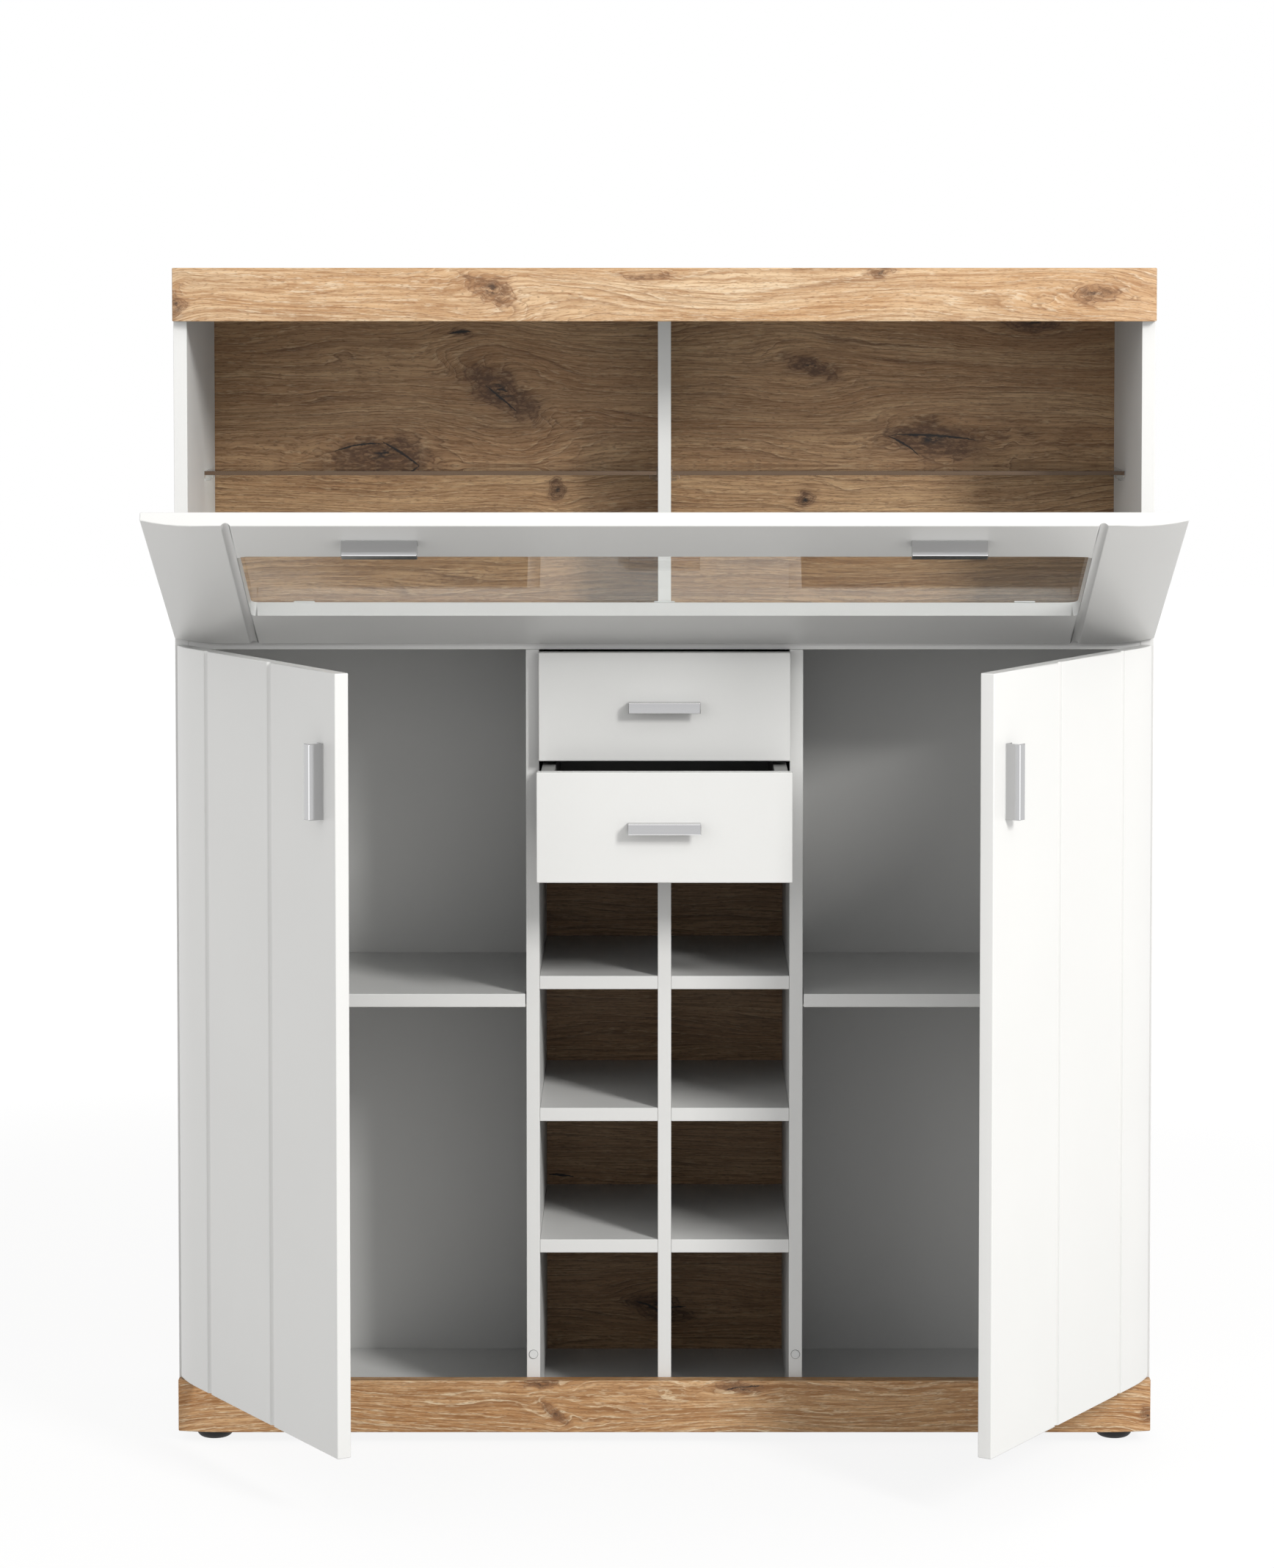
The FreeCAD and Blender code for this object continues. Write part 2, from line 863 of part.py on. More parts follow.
def export_doors():
    cup = hinge_cup(hinge_back_door)
    pin = hinge_pin()
    places = [door_pose.multiply(door_hinge_place(z)) for z in door_hinge_levels]
    handle_place = door_pose.multiply(right_handle_seat)
    pieces = {
        "door_panel": [moved(door_panel(), door_pose)],
        "door_handle": [moved(handle_bow(), handle_place)],
        "door_handle_screws": place_all(handle_screws(), handle_place),
        "door_hinge_cups": [moved(cup, place) for place in places],
        "door_hinge_pins": [moved(pin, place) for place in places],
    }
    for name, shapes in pieces.items():
        export("right_" + name, shapes)
        export("left_" + name, [mirrored(shape) for shape in shapes])


def export_flap():
    places = [flap_pose.multiply(flap_hinge_frame(x)) for x in flap_hinge_places]
    seats = [flap_pose.multiply(place) for place in flap_handle_seats]
    export("flap_frame", moved(flap_frame(), flap_pose))
    export("flap_glass", moved(flap_glass(), flap_pose))
    export("flap_glass_clips", place_all(glass_retainers(), flap_pose))
    export("flap_handles", [moved(handle_bow(), place) for place in seats])
    screws = []
    for place in seats:
        screws += place_all(handle_screws(), place)
    export("flap_handle_screws", screws)
    export("flap_hinge_cups", [moved(hinge_cup(hinge_back_flap), place) for place in places])
    export("flap_hinge_pins", [moved(hinge_pin(), place) for place in places])


def export_drawer(name, top, pose):
    handle_place = pose.multiply(drawer_handle_seat(top))
    export(name + "_front", moved(drawer_front(top), pose))
    export(name + "_sides", place_all(drawer_sides(top), pose))
    export(name + "_back", moved(drawer_back(top), pose))
    export(name + "_bottom", moved(drawer_bottom_box(top), pose))
    export(name + "_handle", moved(handle_bow(), handle_place))
    export(name + "_handle_screws", place_all(handle_screws(), handle_place))


os.makedirs("parts", exist_ok=True)
export_carcass()
export_small_parts()
export_hinges()
export_doors()
export_flap()
export_drawer("upper_drawer", upper_front_top, Placement())
export_drawer("lower_drawer", lower_front_top, drawer_pose)
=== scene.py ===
import json
import math
import bmesh
import bpy
from mathutils import Matrix, Vector


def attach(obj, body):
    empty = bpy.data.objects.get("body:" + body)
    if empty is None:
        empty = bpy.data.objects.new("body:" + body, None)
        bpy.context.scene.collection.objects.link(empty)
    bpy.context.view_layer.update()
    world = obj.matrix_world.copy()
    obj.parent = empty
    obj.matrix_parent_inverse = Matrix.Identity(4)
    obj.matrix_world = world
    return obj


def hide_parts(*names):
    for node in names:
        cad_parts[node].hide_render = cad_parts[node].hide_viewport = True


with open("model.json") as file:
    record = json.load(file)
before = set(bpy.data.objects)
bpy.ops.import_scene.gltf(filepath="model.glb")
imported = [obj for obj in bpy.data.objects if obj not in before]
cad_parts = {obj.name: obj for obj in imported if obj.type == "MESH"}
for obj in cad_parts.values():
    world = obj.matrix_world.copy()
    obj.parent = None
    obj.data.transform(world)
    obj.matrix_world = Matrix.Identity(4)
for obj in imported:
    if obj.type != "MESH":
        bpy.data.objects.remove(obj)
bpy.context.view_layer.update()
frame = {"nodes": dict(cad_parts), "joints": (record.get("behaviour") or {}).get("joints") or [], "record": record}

# Bar cabinet: white melamine and foil boards, knotty oak decor, a glazed drop-down flap.
# Metres, +X right, +Y back, +Z up; the front faces -Y. Node patterns work in millimetres.


def linear(hexColour):
    # sRGB hex to the linear values that shaders take
    parts = [int(hexColour[i:i + 2], 16) / 255 for i in (1, 3, 5)]
    return [c / 12.92 if c <= 0.04045 else ((c + 0.055) / 1.055) ** 2.4 for c in parts] + [1.0]


def addNode(tree, kind, *inputs, stops=None, **settings):
    # inputs are nodes, sockets or values, in order or by name
    node = tree.nodes.new("ShaderNode" + kind)
    for name, value in settings.items():
        setattr(node, name, value)
    named = inputs[0] if inputs and isinstance(inputs[0], dict) else dict(enumerate(inputs))
    for key, value in named.items():
        if isinstance(value, bpy.types.Node):
            # a node stands for its result, which is the third output where it mixes colours
            value = value.outputs[2 if getattr(value, "data_type", "") == "RGBA" else 0]
        if isinstance(value, bpy.types.NodeSocket):
            tree.links.new(value, node.inputs[key])
        else:
            node.inputs[key].default_value = value
    if stops:
        # the ramp keeps its stops in order of place, so they are filled in that order
        ramp = node.color_ramp
        stops = sorted(stops)
        for place, colour in stops[1:-1]:
            ramp.elements.new(place)
        for element, (place, colour) in zip(ramp.elements, stops):
            element.position = place
            element.color = linear(colour) if isinstance(colour, str) else (colour,) * 3 + (1,)
    return node


def newMaterial(name):
    material = bpy.data.materials.new(name)
    material.use_nodes = True
    tree = material.node_tree
    tree.nodes.clear()
    return material, tree


def newObject(name, data):
    made = bpy.data.objects.new(name, data)
    bpy.context.scene.collection.objects.link(made)
    return made


def placeInMm(tree):
    place = addNode(tree, "TexCoord").outputs["Object"]
    return addNode(tree, "VectorMath", {0: place, "Scale": 1000.0}, operation="SCALE")


noiseSpan = (0.3, 0.7)                     # nearly all of a noise lies between these
facesFrom = {"rear": 0.9, "end": 0.7}      # how squarely a face looks that way, to be one


def facingWay(tree):
    # the object's own surface direction, by axis
    return addNode(tree, "SeparateXYZ", addNode(tree, "TexCoord").outputs["Normal"]).outputs


def atRear(tree):
    # 1 on faces that look backwards, 0 on all others
    return addNode(tree, "Math", facingWay(tree)["Y"], facesFrom["rear"], operation="GREATER_THAN")


print("White boards")
rawBoard = {
    "chips": [(0.1, "#8A6440"), (0.55, "#B08A5C"), (0.95, "#D2B284")],
    "chipMm": 2.6,
    "felt": [(0.3, "#7C5733"), (0.7, "#A5794B")],
    "feltMm": 1.4,
}


def chipCore(tree, inMm):
    # a board's unbanded rear edge shows the pressed chips of its core
    chips = addNode(tree, "TexVoronoi", {"Vector": inMm, "Scale": 1 / rawBoard["chipMm"]})
    pick = addNode(tree, "SeparateColor", chips.outputs["Color"])
    return addNode(tree, "ValToRGB", pick, stops=rawBoard["chips"])


def feltedRear(tree, inMm):
    # a back panel's rear is bare fibreboard, felted and brown
    felt = addNode(
        tree, "TexNoise", {"Vector": inMm, "Scale": 1 / rawBoard["feltMm"], "Detail": 5.0, "Roughness": 0.7})
    return addNode(tree, "ValToRGB", felt, stops=rawBoard["felt"])


melamine = {
    "carcass": {"paper": "#F1F1EF", "rough": 0.42, "bump": 0.05},
    # painted shade: this grey stands for the shade inside the drawers, on the same board as the carcass
    "drawer": {"paper": "#858584", "rough": 0.42, "bump": 0.05},
    "foil": {"paper": "#F1F1EF", "rough": 0.36, "bump": 0.03},
    "ior": 1.5,
    "roughSpread": 0.04,
    "pearlMm": 1.1,          # orange-peel of the press plate, drawn a little coarse so that it shows
    "pearlSpan": (0.25, 0.75),
    "pearlShare": 0.015,
    "pearlDepth": 0.0002,    # metres
    "sheenSpan": (0.2, 0.8),
    "cloudMm": 160.0,        # very soft unevenness of the pressed paper
    "cloudShare": 0.018,
}


def pressedFace(name, look, rawRear=False):
    # pressed paper or foil under clear resin: an even soft tone, a low sheen and a faint orange-peel
    material, tree = newMaterial(name)
    inMm = placeInMm(tree)
    pearl = addNode(tree, "TexNoise", {"Vector": inMm, "Scale": 1 / melamine["pearlMm"], "Detail": 2.0})
    cloud = addNode(tree, "TexNoise", {"Vector": inMm, "Scale": 1 / melamine["cloudMm"], "Detail": 3.0})
    tone = addNode(tree, "MapRange", cloud, *noiseSpan, 1 - melamine["cloudShare"], 1.0)
    speck = addNode(tree, "MapRange", pearl, *melamine["pearlSpan"], 1 - melamine["pearlShare"], 1.0)
    bright = addNode(tree, "Math", tone, speck, operation="MULTIPLY")
    colour = addNode(tree, "VectorMath", {0: linear(look["paper"])[:3], "Scale": bright}, operation="SCALE")
    if rawRear:
        colour = addNode(
            tree, "Mix", {0: atRear(tree), 6: colour, 7: chipCore(tree, inMm)}, data_type="RGBA")
    sheen = addNode(
        tree, "MapRange", pearl, *melamine["sheenSpan"],
        look["rough"] - melamine["roughSpread"], look["rough"] + melamine["roughSpread"])
    relief = addNode(
        tree, "Bump", {"Strength": look["bump"], "Distance": melamine["pearlDepth"], "Height": pearl})
    shader = addNode(tree, "BsdfPrincipled", {
        "Base Color": colour, "Roughness": sheen, "Normal": relief, "IOR": melamine["ior"]})
    addNode(tree, "OutputMaterial", shader)
    return material


carcassWhite = pressedFace(
    "Melamine-faced chipboard, white, pearl pressed", melamine["carcass"], rawRear=True)
# painted shade: the boxes inside the drawers are the carcass board drawn grey, for the shade inside them
drawerShadeGrey = pressedFace("Melamine-faced drawer board, grey, pearl pressed", melamine["drawer"])
# foil drawn over rounded edges is smoother than the boards and shines a little more
frontWhite = pressedFace("Foil-wrapped MDF front, white, thermoformed", melamine["foil"])

paintedPanel = {"rough": 0.5, "rearRough": 0.85, "rollerMm": 5 / 3, "bump": 0.08, "depth": 0.0002}


def paintedBack():
    # thin fibreboard: smooth white print on the room side, raw felted brown behind
    material, tree = newMaterial("Lacquered thin fibreboard, roller coated")
    inMm = placeInMm(tree)
    rear = atRear(tree)
    white = linear(melamine["carcass"]["paper"])
    colour = addNode(tree, "Mix", {0: rear, 6: white, 7: feltedRear(tree, inMm)}, data_type="RGBA")
    roller = addNode(
        tree, "TexNoise", {"Vector": inMm, "Scale": 1 / paintedPanel["rollerMm"], "Detail": 3.0})
    relief = addNode(
        tree, "Bump",
        {"Strength": paintedPanel["bump"], "Distance": paintedPanel["depth"], "Height": roller})
    sheen = addNode(tree, "MapRange", rear, 0.0, 1.0, paintedPanel["rough"], paintedPanel["rearRough"])
    shader = addNode(tree, "BsdfPrincipled", {"Base Color": colour, "Roughness": sheen, "Normal": relief})
    addNode(tree, "OutputMaterial", shader)
    return material


whiteBack = paintedBack()

print("Oak decor")
topOak = {
    "light": "#EDCFA8",      # the lightest ground between the growth rings
    "honey": "#DBB285",
    "late": "#A9794C",       # dense late wood, drawn as thin brown lines
    "limed": "#F1DDBF",      # pores filled with white wax
    "pore": "#8B6340",
    "knot": "#7A5638",
    "split": "#2A1A10",
    "ringMm": 7.5,           # spacing of the growth rings on the flat-sawn face
    "lateShare": 0.65,
    "waxLine": 0.3,          # cream lines where the wax follows a ring
    "streakShare": 0.5,
    "fibreShare": 0.7,
    "limedShare": 0.6,
    "coreShare": 0.7,
    "knotShare": 1.0,
    "seamShare": 0.45,
    "ior": 1.5,
    "rough": 0.5,
    "smoother": 0.05,        # how far the sheen strays from that, either way
    "rougher": 0.07,
    "rearRougher": 0.3,
    "bump": 0.25,
    "bumpDepth": 0.0002,     # metres
}
baseOak = dict(
    topOak, light="#E0B585", honey="#C99764", late="#94612F", limed="#F3DCB8", ringMm=8.5, limedShare=0.75,
    waxLine=0.85, fibreShare=0.75, streakShare=0.6)
backOak = dict(
    topOak, light="#D3AC81", honey="#BA8F65", late="#7F5835", limed="#E0C39C", pore="#64432A", knot="#5E4029",
    split="#120B07", ringMm=10.0, lateShare=0.7, limedShare=0.5, waxLine=0.25,
    fibreShare=0.65, streakShare=0.4, coreShare=1.0, knotShare=1.3)
grain = {
    # mm along the grain, mm across it, place in the noise, detail, roughness of the noise
    "swirl": (330.0, 74.0, 0.0, 1.0, 0.5),      # how far the figure runs before it turns
    "ripple": (85.0, 20.0, 3.7, 2.0, 0.5),
    "wander": (34.0, 22.0, 31.7, 2.0, 0.5),     # keeps the knots from being round
    "slow": (900.0, 22.0, 9.1, 2.0, 0.5),       # the rings stand closer here and wider there
    "tone": (420.0, 26.0, 11.9, 2.0, 0.5),
    "fade": (130.0, 16.0, 29.3, 2.0, 0.5),
    "streak": (150.0, 3.0, 41.1, 3.0, 0.6),
    "fibre": (55.0, 2.0, 5.3, 4.0, 0.7),
    "dash": (15.0, 1.5, 17.3, 2.0, 0.6),        # waxed pores; 0.3 mm wide in wood, drawn wider to show
    "pore": (7.0, 1.2, 23.9, 1.0, 0.5),
    "mottle": (12.0, 4.5, 37.3, 3.0, 0.65),
}
drift = {
    # mm that a noise shifts the figure, from one side to the other
    "swirl": 72.0,
    "ripple": 8.0,
    "knotAlong": 40.0,
    "knotAcross": 26.0,
    "splitAcross": 5.0,
    "plankMm": 613.0,        # how far apart along the log two neighbouring planks are cut
    "rings": 4.0,            # rings that the slow noise adds or takes away
    "straight": 0.6,         # how much straighter fibres and pores run than the rings
    "knotPush": -0.82,       # how hard a knot pushes the grain aside, and how soon that fades
    "knotFall": -0.2,
    "bend": 0.75,            # a bend's push against a knot's
    "knotRings": 4.0,        # rings in one knot radius, how far the mottle breaks them up, their share
    "knotMottle": 2.2,
    "knotTurns": 0.4,
    "splitFull": 0.4,        # share of a split's width that is fully dark
}
marks = {
    # a mark starts at the first value and is full at the second; then how much of it shows at either
    "tone": (0.35, 0.65, 0.0, 1.0),
    "fade": (0.38, 0.6, 0.15, 1.0),
    "streak": (0.42, 0.62, 0.0, 1.0),
    "fibre": (0.47, 0.6, 0.0, 1.0),
    "dash": (0.53, 0.62, 0.0, 1.0),
    "waxed": (0.4, 0.52, 0.5, 1.0),
    "pore": (0.58, 0.68, 0.0, 0.45),
    "heartMottle": (0.4, 0.62, 0.2, 0.75),
    "rimMottle": (0.38, 0.55, 0.1, 0.85),
    "coreMottle": (0.42, 0.56, 0.0, 1.0),
    # these by distance in knot radii, from the rim or from the heart
    "rim": (0.09, 0.0, 0.0, 1.0),
    "core": (0.42, 0.1, 0.0, 1.0),
}
knotZones = {
    # likewise by distance from the heart, with soft ends
    "near": (2.6, 1.0, 0.0, 0.9),
    "halo": (1.7, 0.8, 0.0, 0.3),
    "heart": (1.06, 0.7, 0.0, 1.0),
}
bands = {
    # how a mark rises and falls within one growth ring, and within one ring of a knot
    "late": [(0.0, 0.0), (0.55, 0.06), (0.8, 0.3), (0.92, 1.0), (0.97, 0.5), (1.0, 0.0)],
    "early": [(0.0, 1.0), (0.35, 0.45), (0.8, 0.25), (1.0, 0.9)],
    "wax": [(0.0, 1.0), (0.08, 0.8), (0.16, 0.0), (1.0, 0.0)],
    "turn": [(0.0, 0.0), (0.6, 0.2), (0.82, 1.0), (1.0, 0.0)],
}


def newGroup(name, inputs, outputs):
    group = bpy.data.node_groups.new(name, "ShaderNodeTree")
    for title in inputs:
        group.interface.new_socket(title, in_out="INPUT", socket_type="NodeSocketFloat")
    for title in outputs:
        group.interface.new_socket(title, in_out="OUTPUT", socket_type="NodeSocketFloat")
    return group, group.nodes.new("NodeGroupInput").outputs, group.nodes.new("NodeGroupOutput").inputs


def knotField():
    # how a knot pushes the grain aside, and how far a point lies from its heart, in knot radii
    tree, given, result = newGroup(
        "Knot", ["Along", "Across", "Knot along", "Knot across", "Reach", "Rise", "Tilt"], ["Shift", "Far"])
    along = addNode(tree, "Math", given["Along"], given["Knot along"], operation="SUBTRACT")
    level = addNode(tree, "Math", given["Across"], given["Knot across"], operation="SUBTRACT")
    across = addNode(tree, "Math", along, given["Tilt"], level, operation="MULTIPLY_ADD")
    alongShare = addNode(tree, "Math", along, given["Reach"], operation="DIVIDE")
    acrossShare = addNode(tree, "Math", across, given["Rise"], operation="DIVIDE")
    both = addNode(tree, "CombineXYZ", alongShare, acrossShare)
    far = addNode(tree, "VectorMath", both, operation="LENGTH").outputs["Value"]
    square = addNode(tree, "Math", far, 2.0, operation="POWER")
    fall = addNode(tree, "Math", square, drift["knotFall"], operation="MULTIPLY")
    bell = addNode(tree, "Math", math.e, fall, operation="POWER")
    push = addNode(tree, "Math", across, bell, operation="MULTIPLY")
    shift = addNode(tree, "Math", push, drift["knotPush"], operation="MULTIPLY")
    tree.links.new(shift.outputs[0], result["Shift"])
    tree.links.new(far, result["Far"])
    return tree


def splitField():
    # a thin bowed split, widest in its middle
    tree, given, result = newGroup(
        "Split", ["Along", "Across", "Split along", "Split across", "Half", "Slope", "Bow", "Wide"], ["Mask"])
    along = addNode(tree, "Math", given["Along"], given["Split along"], operation="SUBTRACT")
    share = addNode(tree, "Math", along, given["Half"], operation="DIVIDE")
    square = addNode(tree, "Math", share, share, operation="MULTIPLY")
    taper = addNode(tree, "Math", 1.0, square, operation="SUBTRACT", use_clamp=True)
    sloped = addNode(tree, "Math", along, given["Slope"], given["Split across"], operation="MULTIPLY_ADD")
    line = addNode(tree, "Math", taper, given["Bow"], sloped, operation="MULTIPLY_ADD")
    off = addNode(tree, "Math", given["Across"], line, operation="SUBTRACT")
    off = addNode(tree, "Math", off, operation="ABSOLUTE")
    wide = addNode(tree, "Math", taper, given["Wide"], operation="MULTIPLY")
    full = addNode(tree, "Math", wide, drift["splitFull"], operation="MULTIPLY")
    mask = addNode(
        tree, "MapRange", {"Value": off, "From Min": wide, "From Max": full}, interpolation_type="SMOOTHSTEP")
    tree.links.new(mask.outputs[0], result["Mask"])
    return tree


knotGroup = knotField()
splitGroup = splitField()

# In a figure, a knot or bend is its place along X, its height, half length, half height and slant;
# a split is its place along X, its height, half length, slope, bow and width. All in mm.
topFigure = {
    "face": -175.0,          # where in Y the face is that these places are on
    "plankMm": 2000.0,
    "plankFrom": -1300.0,
    "seamMm": 1.2,
    "seed": 4.2,
    "knots": [
        (-207, 1373, 32, 15, 0.3), (-20, 1390, 24, 4, 0.05), (254, 1398, 14, 6, 0.0),
        (508, 1371, 26, 10, -0.1), (-578, 1362, 9, 16, -0.3),
    ],
    "bends": [(-200, 1372, 62, 26, 0.2), (500, 1370, 60, 20, -0.1), (40, 1392, 90, 14, 0.0)],
    "splits": [],
}
baseFigure = dict(
    topFigure, seed=6.1,
    knots=[(94, 69, 28, 8, 0.1), (-129, 37, 15, 8, 0.5), (-148, 73, 18, 5, 0.0), (572, 40, 9, 8, 0.0)],
    bends=[(-70, 34, 50, 24, 0.1), (12, 76, 42, 20, 0.0)],
    splits=[(94, 68, 24, 0.1, 1, 1)])
backFigure = dict(
    topFigure, face=162.5, plankMm=207.0, plankFrom=-708.5, seed=8.6,
    knots=[
        (-256, 1318, 15, 6, 0.1), (-203, 1243, 42, 27, 0.5), (-350, 1166, 60, 22, 0.0),
        (-135, 1123, 11, 14, 0.0), (184, 1275, 30, 13, 0.25), (336, 1184, 54, 20, 0.1),
        (178, 1112, 12, 11, 0.0), (462, 1332, 34, 13, 0.0), (-8, 84, 38, 17, 0.2),
    ],
    bends=[
        (-225, 1262, 60, 36, 0.4), (-420, 1290, 56, 24, 0.2), (-350, 1170, 100, 34, 0.0),
        (336, 1186, 96, 30, 0.0), (184, 1278, 62, 24, 0.2),
    ],
    splits=[
        (-385, 1174, 34, 0.17, 4, 1.6), (-330, 1166, 26, -0.66, 2, 2.8), (-205, 1237, 22, -0.85, 0, 2.2),
        (338, 1187, 58, -0.06, 3, 2.4), (300, 1176, 22, -0.6, 4, 2.0), (-256, 1319, 14, 0.1, 1, 2.4),
        (-22, 86, 16, -0.4, 2, 2.0), (10, 82, 18, 0.2, 2, 1.8), (-131, 253, 17, -0.05, 1, 2.2),
    ])


def oakDecor(name, look, figure, rearCore):
    # knotty oak printed and embossed on paper: honey ground, waxed pores and dark swirls at the knots
    material, tree = newMaterial(name)
    inMm = placeInMm(tree)
    where = addNode(tree, "SeparateXYZ", inMm).outputs
    tones = {part: linear(value) for part, value in look.items() if isinstance(value, str)}

    def noise(kind, u, v):
        alongMm, acrossMm, place, detail, rough = grain[kind]
        scaled = addNode(
            tree, "CombineXYZ", addNode(tree, "Math", u, alongMm, operation="DIVIDE"),
            addNode(tree, "Math", v, acrossMm, operation="DIVIDE"), figure["seed"] + place)
        return addNode(
            tree, "TexNoise", {"Vector": scaled, "Scale": 1.0, "Detail": detail, "Roughness": rough})

    def sway(value, reach, start):
        # a coordinate that moves to and fro with a noise
        centred = addNode(tree, "Math", value, 0.5, operation="SUBTRACT")
        return addNode(tree, "Math", centred, reach, start, operation="MULTIPLY_ADD")

    def placed(kind):
        # the wrapped coordinate on a face is the height plus where the face is in Y
        return [(x, z + figure["face"], *shape) for x, z, *shape in figure[kind]]

    def together(share, *more):
        for other in more:
            share = addNode(tree, "Math", share, other, operation="MULTIPLY")
        return share

    # the paper wraps the edges: across the grain it runs on over top and front, at the ends it turns
    sideways = addNode(tree, "Math", facingWay(tree)["X"], operation="ABSOLUTE")
    atEnd = addNode(tree, "Math", sideways, facesFrom["end"], operation="GREATER_THAN")
    wrapped = addNode(tree, "Math", where["Z"], where["Y"], operation="ADD")
    u = addNode(tree, "Mix", {0: atEnd, 2: where["X"], 3: where["Y"]})
    v = addNode(tree, "Mix", {0: atEnd, 2: wrapped, 3: where["Z"]})
    rise = addNode(tree, "Math", v, figure["plankFrom"], operation="SUBTRACT")
    plank = addNode(tree, "Math", rise, figure["plankMm"], operation="DIVIDE")
    plank = addNode(tree, "Math", plank, operation="FLOOR")
    below = addNode(tree, "Math", plank, figure["plankMm"], operation="MULTIPLY")
    inPlank = addNode(tree, "Math", rise, below, operation="SUBTRACT")
    seam = addNode(tree, "Math", inPlank, figure["seamMm"], operation="LESS_THAN")
    uCut = addNode(tree, "Math", plank, drift["plankMm"], u, operation="MULTIPLY_ADD")

    ripple = noise("ripple", uCut, v)
    flow = sway(noise("swirl", uCut, v), drift["swirl"], v)
    flow = sway(ripple, drift["ripple"], flow)
    # knots are never round: the place that their outline is drawn at wanders
    knotU = sway(ripple, drift["knotAlong"], u)
    knotV = sway(noise("wander", uCut, v), drift["knotAcross"], v)
    far = 1000.0             # where no knot is near
    for place in placed("knots"):
        knot = addNode(tree, "Group", knotU, knotV, *place, node_tree=knotGroup).outputs
        flow = addNode(tree, "Math", flow, knot["Shift"], operation="ADD")
        far = addNode(tree, "Math", far, knot["Far"], operation="MINIMUM")
    # the figure also opens into wide arcs round these places
    for place in placed("bends"):
        bend = addNode(tree, "Group", u, knotV, *place, node_tree=knotGroup).outputs
        flow = addNode(tree, "Math", bend["Shift"], drift["bend"], flow, operation="MULTIPLY_ADD")

    # growth rings: the tone falls slowly to a thin brown line, then starts again light
    ring = addNode(tree, "Math", flow, look["ringMm"], operation="DIVIDE")
    ring = addNode(tree, "Math", noise("slow", uCut, flow), drift["rings"], ring, operation="MULTIPLY_ADD")
    ring = addNode(tree, "Math", ring, operation="FRACT")
    # a knot's own rings, broken up by its mottle
    mottle = noise("mottle", u, v)
    turn = addNode(tree, "Math", far, drift["knotRings"], operation="MULTIPLY")
    turn = addNode(tree, "Math", mottle, drift["knotMottle"], turn, operation="MULTIPLY_ADD")
    turn = addNode(tree, "Math", turn, operation="FRACT")
    band = {
        kind: addNode(tree, "ValToRGB", source, stops=bands[kind])
        for kind, source in (("late", ring), ("early", ring), ("wax", ring), ("turn", turn))}

    fine = addNode(tree, "Math", v, flow, operation="SUBTRACT")
    fine = addNode(tree, "Math", fine, drift["straight"], flow, operation="MULTIPLY_ADD")
    fibre = noise("fibre", uCut, fine)
    dash = noise("dash", uCut, fine)
    offRim = addNode(tree, "Math", far, 1.0, operation="SUBTRACT")
    offRim = addNode(tree, "Math", offRim, operation="ABSOLUTE")
    sources = {
        "tone": noise("tone", uCut, flow), "fade": noise("fade", uCut, flow),
        "streak": noise("streak", uCut, fine), "fibre": fibre, "dash": dash, "waxed": dash,
        "pore": noise("pore", uCut, fine), "heartMottle": mottle, "rimMottle": mottle, "coreMottle": mottle,
        "rim": offRim, "core": far,
    }
    mask = {kind: addNode(tree, "MapRange", source, *marks[kind]) for kind, source in sources.items()}
    zone = {
        kind: addNode(tree, "MapRange", far, *span, interpolation_type="SMOOTHSTEP")
        for kind, span in knotZones.items()}
    # the ring lines come and go along the board, and stand out round the knots
    fade = addNode(tree, "Math", zone["near"], mask["fade"], operation="MAXIMUM")
    waxed = together(mask["dash"], band["early"])
    shade = addNode(
        tree, "Math", band["turn"], drift["knotTurns"], mask["heartMottle"], operation="MULTIPLY_ADD")
    splitV = sway(mottle, drift["splitAcross"], v)
    split = 0.0
    for place in placed("splits"):
        opening = addNode(tree, "Group", u, splitV, *place, node_tree=splitGroup)
        split = addNode(tree, "Math", split, opening, operation="MAXIMUM")

    layers = [
        (mask["tone"], "honey", "MIX"),
        (together(mask["streak"], look["streakShare"]), "late", "MIX"),
        (together(mask["fibre"], look["fibreShare"]), "late", "MIX"),
        (together(band["late"], fade, look["lateShare"]), "pore", "MIX"),
        # the waxed pores sit in the open early wood, just past each brown line
        (together(waxed, look["limedShare"]), "limed", "MIX"),
        (together(band["wax"], fade, mask["waxed"], look["waxLine"]), "limed", "MIX"),
        (mask["pore"], "pore", "MIX"),
        (zone["halo"], "late", "MULTIPLY"),
        (together(zone["heart"], shade, look["knotShare"]), "knot", "MIX"),
        (together(mask["rim"], mask["rimMottle"]), "knot", "MIX"),
        (together(mask["core"], mask["coreMottle"], look["coreShare"]), "split", "MIX"),
        (split, "split", "MIX"),
        (together(seam, look["seamShare"]), "pore", "MIX"),
    ]
    colour = tones["light"]
    for share, tone, mode in layers:
        colour = addNode(
            tree, "Mix", {0: share, 6: colour, 7: tones[tone]}, data_type="RGBA", blend_type=mode)
    rear = atRear(tree)
    colour = addNode(tree, "Mix", {0: rear, 6: colour, 7: rearCore(tree, inMm)}, data_type="RGBA")

